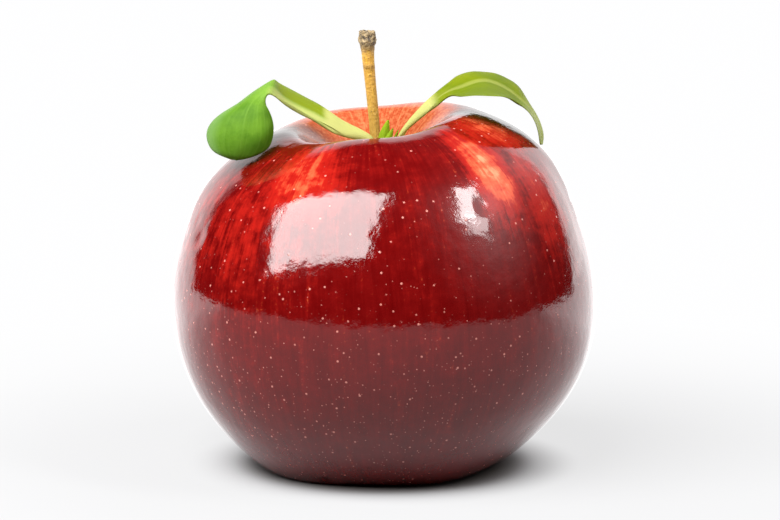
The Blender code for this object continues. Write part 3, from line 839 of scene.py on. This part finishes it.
stamen_points = []
stamen_faces = []
for number in range(STAMENS):
    facing = 2.4 * number
    spread = TUFT_RADIUS * math.sqrt((number + 0.5) / STAMENS)
    foot = round_the_tuft(spread, facing, STAMEN_FOOT)
    tip = round_the_tuft(0.75 * spread, facing + 0.8, STAMEN_TIP + 0.25 * (number % 3))
    bow = round_the_tuft(0.05, number, 0.0)
    line = spline((foot, (foot + tip) / 2.0 + bow, tip), STAMEN_STEPS)
    start = len(stamen_points) * STAMEN_SIDES
    for step, middle in enumerate(line):
        reach = 0.075 + 0.05 * float(bump_of(step, STAMEN_STEPS - 2, 1.5))
        turns = [math.tau * side / STAMEN_SIDES for side in range(STAMEN_SIDES)]
        stamen_points.append([middle + (reach * math.cos(t), reach * math.sin(t), 0.0) for t in turns])
    for face in grid_faces(STAMEN_STEPS, STAMEN_SIDES, closed=True):
        stamen_faces.append(tuple(start + corner for corner in face))
    stamen_faces.append(tuple(start + side for side in range(STAMEN_SIDES)))
    last = start + (STAMEN_STEPS - 1) * STAMEN_SIDES
    stamen_faces.append(tuple(last + side for side in reversed(range(STAMEN_SIDES))))
stamens = make_piece("stamen_threads", np.array(stamen_points) + slide, stamen_faces)
stamens.data.materials.append(calyx_brown)
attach(stamens, "root")
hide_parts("stamens")
print(STAMENS, "stamens")

# %% [markdown]
# ## Floor
# The apple stands on a pale table. A large disc fades to the white of the backdrop, so no horizon shows
# from any side. Most of its brightness is its own, which keeps the shadows as soft as in a light tent.
# Right under the fruit, where little light gets in, its own light is held back and its ground is painted
# dark: a painted contact shadow. To the camera it is also a little darker near the fruit, which is painted
# shade. The table behind the fruit glows more strongly to reflections than to the viewer, which brightens
# the pale bands low on the flanks.

# %% Floor
FLOOR_REACH = 3.0
FLOOR_DROP = 0.00005
OWN_LIGHT = 0.76
PAINTED_CONTACT_SHADOW = (0.09, 0.08, 0.075)
TABLE_GREY = (0.30, 0.30, 0.305)
TABLE_WHITE = (0.995, 0.995, 1.0, 1.0)


def floor_finish():
    """A matt ground that passes into its own light, by distance from the middle in metres."""
    material, tree, shader = start_material("table_white")
    place = node(tree, "TexCoord").outputs["Object"]
    _, depth, _ = node(tree, "SeparateXYZ", {0: place}).outputs
    reach = node(tree, "VectorMath", {0: place}, operation="LENGTH").outputs["Value"]
    # Painted contact shadow: the ground turns dark grey right under the fruit.
    ground = mix(tree, ease(tree, reach, 0.021, 0.030), PAINTED_CONTACT_SHADOW, TABLE_GREY)
    tree.links.new(ground, shader.inputs["Base Color"])
    shader.inputs["Roughness"].default_value = 0.9
    shader.inputs["Specular IOR Level"].default_value = 0.0
    mirrored = ease(tree, depth, -0.05, 0.12, 0.95, 2.5)
    # To the camera the table's own light is a little weaker near the fruit: painted shade.
    plain = ease(tree, reach, 0.05, 0.13, 0.94, 1.0)
    seen = node(tree, "LightPath").outputs["Is Camera Ray"]
    strength = node(tree, "Mix", {0: seen, 2: mirrored, 3: plain}).outputs[0]
    shine = node(tree, "Emission", {"Color": TABLE_WHITE, "Strength": strength})
    # The table's own light is held back close to the fruit: painted shadow.
    near = ease(tree, reach, 0.0245, 0.038, 0.0, OWN_LIGHT)
    far = ease(tree, reach, 0.08, 0.17, 0.0, 1.0 - OWN_LIGHT)
    fade = sums(tree, "ADD", near, far)
    both = node(tree, "MixShader", {0: fade, 1: shader.outputs[0], 2: shine.outputs[0]})
    tree.links.new(both.outputs[0], tree.nodes["Material Output"].inputs["Surface"])
    return material


table_place = (0.0, 0.0, -FLOOR_DROP)
bpy.ops.mesh.primitive_circle_add(vertices=128, radius=FLOOR_REACH, fill_type="NGON", location=table_place)
floor = bpy.context.object
floor.name = "table"
floor.data.materials.append(floor_finish())
print("table of", FLOOR_REACH, "m around the fruit")

# %% [markdown]
# ## Light
# A glossy fruit is lit by what it mirrors. A white backdrop curves round behind it and shows as pale
# bands down both flanks. The room in front is dark, which leaves the deep red clear, apart from two soft
# glows, one at the right and one at the right behind. All of it is painted on the world by direction; rays
# from the camera always see plain white. A large softbox at the upper left gives the square highlight. At
# the upper right a tall narrow one and a wide low one give the second, smaller highlight.

# %% World
BACKDROP_EDGE = 0.57
BACKDROP_MIDDLE = 1.35
BACKDROP_SIDES = 2.75
ROOM_LIGHT = 0.01
# Each glow: its bearing and height in degrees, its sharpness and its strength.
GLOWS = ((75.0, 43.0, 16.0, 2.6), (134.0, 38.0, 22.0, 1.3))
WHITE = (1.0, 1.0, 1.0, 1.0)


def glow_towards(tree, direction, bearing, height, sharpness, strength):
    """A soft round patch of light, by bearing from the front and height above the table, in degrees."""
    turn, rise = math.radians(bearing), math.radians(height)
    middle = (math.sin(turn) * math.cos(rise), -math.cos(turn) * math.cos(rise), math.sin(rise))
    facing = node(tree, "VectorMath", {0: direction, 1: middle}, operation="DOT_PRODUCT").outputs["Value"]
    falling = sums(tree, "MULTIPLY", sums(tree, "SUBTRACT", facing, 1.0), sharpness)
    return sums(tree, "MULTIPLY", sums(tree, "EXPONENT", falling), strength)


def world_light():
    """The backdrop and the glows. Here flat is how level a direction is, backward how far behind it is."""
    world = bpy.data.worlds.new("studio")
    world.use_nodes = True
    tree = world.node_tree
    tree.nodes.clear()
    direction = node(tree, "TexCoord").outputs["Generated"]
    to_right, to_back, up = node(tree, "SeparateXYZ", {0: direction}).outputs
    flat = sums(tree, "SQRT", sums(tree, "SUBTRACT", 1.0001, sums(tree, "MULTIPLY", up, up)))
    backward = sums(tree, "DIVIDE", to_back, flat)
    rise = sums(tree, "MAXIMUM", up, 0.0)
    edge = sums(tree, "MULTIPLY_ADD", rise, -0.35, sums(tree, "SUBTRACT", backward, BACKDROP_EDGE))
    panel = sums(tree, "MULTIPLY", ease(tree, edge, -0.035, 0.035), ease(tree, up, 0.74, 0.62))
    sides = sums(tree, "MULTIPLY_ADD", rise, -3.0, BACKDROP_SIDES)
    sides = sums(tree, "MULTIPLY", sides, sums(tree, "MULTIPLY_ADD", to_right, 0.22, 1.0))
    middle = ease(tree, backward, 0.84, 0.95)
    strength = node(tree, "Mix", {0: middle, 2: sides, 3: BACKDROP_MIDDLE}).outputs[0]
    strength = sums(tree, "MULTIPLY", panel, strength)
    for glow in GLOWS:
        strength = sums(tree, "ADD", strength, glow_towards(tree, direction, *glow))
    strength = sums(tree, "ADD", strength, ROOM_LIGHT)
    seen = node(tree, "LightPath").outputs["Is Camera Ray"]
    lit = node(tree, "Background", {"Color": WHITE, "Strength": strength})
    plain = node(tree, "Background", {"Color": WHITE, "Strength": 1.0})
    both = node(tree, "MixShader", {0: seen, 1: lit.outputs[0], 2: plain.outputs[0]})
    output = node(tree, "OutputWorld", {0: both.outputs[0]})
    output.is_active_output = True
    return world


bpy.context.scene.world = world_light()
print("backdrop and", len(GLOWS), "glows on", bpy.context.scene.world.name)


# %% Softboxes
# Each softbox: the direction that it stands in, the direction that its back faces, the direction of its
# width, then its distance, width and height in metres, and how bright its surface is.
SOFTBOXES = {
    "key": (
        (-0.497, -0.389, 0.775), (-0.320, -0.604, 0.680), (0.898, -0.382, 0.096),
        0.75, 0.705, 0.60, 16.0,
    ),
    "tall": (
        (0.542, -0.224, 0.810), (0.607, -0.691, 0.393), (0.795, 0.525, -0.304),
        0.80, 0.13, 0.476, 20.0,
    ),
    "wide": (
        (0.724, -0.361, 0.588), (0.190, -0.724, 0.663), (0.945, 0.318, 0.077),
        0.80, 0.254, 0.132, 10.0,
    ),
}


def softbox(name, towards, facing, edge, distance, width, height, radiance):
    """A rectangular light placed towards a direction, with its width along edge."""
    back = Vector(facing).normalized()
    side = (Vector(edge) - back * back.dot(Vector(edge))).normalized()
    data = bpy.data.lights.new(name, "AREA")
    data.shape = "RECTANGLE"
    data.size = width
    data.size_y = height
    data.energy = radiance * math.pi * width * height
    lamp = bpy.data.objects.new(name, data)
    turn = Matrix((side, back.cross(side), back)).transposed()
    place = fruit_middle + Vector(towards).normalized() * distance
    lamp.matrix_world = Matrix.Translation(place) @ turn.to_4x4()
    lamp.visible_camera = False
    bpy.context.scene.collection.objects.link(lamp)


for name, settings in SOFTBOXES.items():
    softbox(name, *settings)
print(len(SOFTBOXES), "softboxes")
bpy.context.scene.view_settings.view_transform = "Standard"
bpy.context.scene.view_settings.look = "None"
